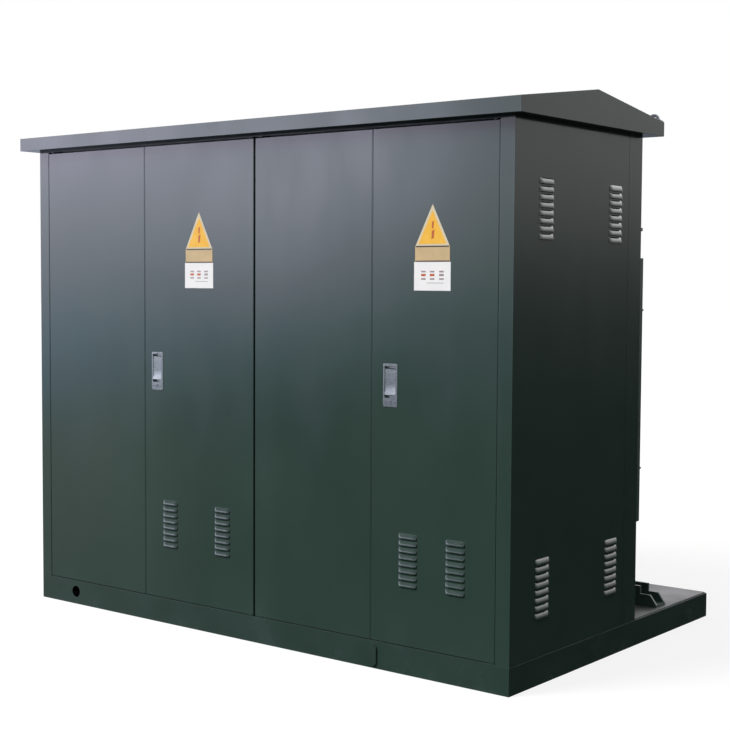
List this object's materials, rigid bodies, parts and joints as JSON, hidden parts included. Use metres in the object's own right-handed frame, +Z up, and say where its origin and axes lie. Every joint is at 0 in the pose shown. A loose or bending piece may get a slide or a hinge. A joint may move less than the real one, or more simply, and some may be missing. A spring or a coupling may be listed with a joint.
{
  "type": "pad-mounted transformer",
  "caption": "Low box-type transformer: green gable-roofed terminal cabinet with hinged door leaves, rod locks and louvres, and a finned oil tank behind on one channel base.",
  "frame": {"origin": "on the ground, below the middle of the whole outline", "axes": "+X to the right along the doors, -Y out of the doors, +Z up"},
  "size_m": [2.59, 1.62, 2.111],
  "materials": {
    "green_paint": "gloss",
    "base_paint": "gloss",
    "tank_paint": "satin",
    "zinc_steel": "satin",
    "satin_steel": "satin",
    "sign_face": "gloss",
    "seal_rubber": "matte",
    "core_steel": "matte",
    "winding": "matte",
    "bushing_resin": "gloss",
    "tinned_copper": "satin",
    "fitting_plastic": "satin",
    "handle_red": "gloss",
    "valve_brass": "satin"
  },
  "bodies": {
    "enclosure": {"base_cross_rails": "base_paint", "base_front_rail": "base_paint", "base_rear_rail": "base_paint", "base_side_rails": "base_paint", "coils": "winding", "core": "core_steel", "cover_bolts": "zinc_steel", "door_seals": "seal_rubber", "door_stops": "green_paint", "drain_valve": "valve_brass", "earth_bars": "tinned_copper", "floor_plate_hv": "base_paint", "floor_plate_lv": "base_paint", "front_posts": "green_paint", "gauges": "fitting_plastic", "hv_bushings": "bushing_resin", "hv_fittings": "fitting_plastic", "lintel": "green_paint", "lv_bushings": "bushing_resin", "lv_terminals": "tinned_copper", "partition": "green_paint", "rear_closure": "green_paint", "rear_deck": "base_paint", "rear_posts": "green_paint", "roof_gables": "green_paint", "roof_lifting_loops": "zinc_steel", "roof_ridge_beam": "green_paint", "roof_skin": "green_paint", "roof_soffit": "green_paint", "side_panel_left": "green_paint", "side_panel_right": "green_paint", "tank_cover": "tank_paint", "tank_fins": "tank_paint", "tank_shell": "tank_paint", "top_rails": "green_paint"},
    "door_a": {"door_a": "green_paint", "hinge_stile_a": "green_paint"},
    "door_b": {"door_b": "green_paint", "hinge_stile_b": "green_paint", "lock_case_b": "satin_steel", "rod_guides_b": "green_paint", "sign_b": "sign_face"},
    "door_c": {"door_c": "green_paint", "hinge_stile_c": "green_paint"},
    "door_d": {"door_d": "green_paint", "hinge_stile_d": "green_paint", "lock_case_d": "satin_steel", "rod_guides_d": "green_paint", "sign_d": "sign_face"},
    "switch_arm": {"switch_handle": "handle_red"},
    "tap_selector": {"tap_knob": "fitting_plastic"},
    "valve_wheel": {"handwheel": "handle_red"},
    "lever_b": {"lock_lever_b": "satin_steel"},
    "rocker_b": {"lock_rocker_b": "zinc_steel"},
    "rod_upper_b": {"lock_rod_upper_b": "zinc_steel"},
    "rod_lower_b": {"lock_rod_lower_b": "zinc_steel"},
    "lever_d": {"lock_lever_d": "satin_steel"},
    "rocker_d": {"lock_rocker_d": "zinc_steel"},
    "rod_upper_d": {"lock_rod_upper_d": "zinc_steel"},
    "rod_lower_d": {"lock_rod_lower_d": "zinc_steel"}
  },
  "joints": [
    {"name": "door_a_hinge", "type": "hinge", "parent": "enclosure", "child": "door_a", "pos_m": [-1.153, -0.738, 0.105], "axis": [0, 0, -1], "range_deg": [0, 110]},
    {"name": "door_b_hinge", "type": "hinge", "parent": "enclosure", "child": "door_b", "pos_m": [0.023, -0.738, 0.105], "axis": [0, 0, 1], "range_deg": [0, 85]},
    {"name": "door_c_hinge", "type": "hinge", "parent": "enclosure", "child": "door_c", "pos_m": [0.075, -0.738, 0.105], "axis": [0, 0, -1], "range_deg": [0, 85]},
    {"name": "door_d_hinge", "type": "hinge", "parent": "enclosure", "child": "door_d", "pos_m": [1.153, -0.738, 0.105], "axis": [0, 0, 1], "range_deg": [0, 110]},
    {"name": "lever_b_lift", "type": "hinge", "parent": "door_b", "child": "lever_b", "pos_m": [-0.493, -0.742, 1.105], "axis": [-1, 0, 0], "range_deg": [0, 60]},
    {"name": "rocker_b_turn", "type": "hinge", "parent": "door_b", "child": "rocker_b", "pos_m": [-0.493, -0.717, 1.048], "axis": [0, 1, 0], "range_deg": [0, 40]},
    {"name": "rod_upper_b_slide", "type": "slide", "parent": "door_b", "child": "rod_upper_b", "axis": [0, 0, -1], "range_m": [0, 0.01286]},
    {"name": "rod_lower_b_slide", "type": "slide", "parent": "door_b", "child": "rod_lower_b", "axis": [0, 0, 1], "range_m": [0, 0.01286]},
    {"name": "lever_d_lift", "type": "hinge", "parent": "door_d", "child": "lever_d", "pos_m": [0.716, -0.742, 1.105], "axis": [-1, 0, 0], "range_deg": [0, 60]},
    {"name": "rocker_d_turn", "type": "hinge", "parent": "door_d", "child": "rocker_d", "pos_m": [0.716, -0.717, 1.048], "axis": [0, 1, 0], "range_deg": [0, 40]},
    {"name": "rod_upper_d_slide", "type": "slide", "parent": "door_d", "child": "rod_upper_d", "axis": [0, 0, -1], "range_m": [0, 0.01286]},
    {"name": "rod_lower_d_slide", "type": "slide", "parent": "door_d", "child": "rod_lower_d", "axis": [0, 0, 1], "range_m": [0, 0.01286]},
    {"name": "switch_turn", "type": "hinge", "parent": "enclosure", "child": "switch_arm", "pos_m": [-0.15, -0.202, 1.43], "axis": [0, 1, 0], "range_deg": [0, 90]},
    {"name": "tap_turn", "type": "hinge", "parent": "enclosure", "child": "tap_selector", "pos_m": [-0.42, -0.181, 1.45], "axis": [0, 1, 0], "range_deg": [0, 144]},
    {"name": "valve_turn", "type": "hinge", "parent": "enclosure", "child": "valve_wheel", "pos_m": [0.93, -0.245, 0.24], "axis": [0, 1, 0], "range_deg": [0, 360]}
  ],
  "couplings": [
    {"joint": "rocker_b_turn", "follows": "lever_b_lift", "ratio": 0.66667},
    {"joint": "rod_upper_b_slide", "follows": "lever_b_lift", "m_per_rad": 0.012276},
    {"joint": "rod_lower_b_slide", "follows": "lever_b_lift", "m_per_rad": 0.012276},
    {"joint": "rocker_d_turn", "follows": "lever_d_lift", "ratio": 0.66667},
    {"joint": "rod_upper_d_slide", "follows": "lever_d_lift", "m_per_rad": 0.012276},
    {"joint": "rod_lower_d_slide", "follows": "lever_d_lift", "m_per_rad": 0.012276}
  ]
}
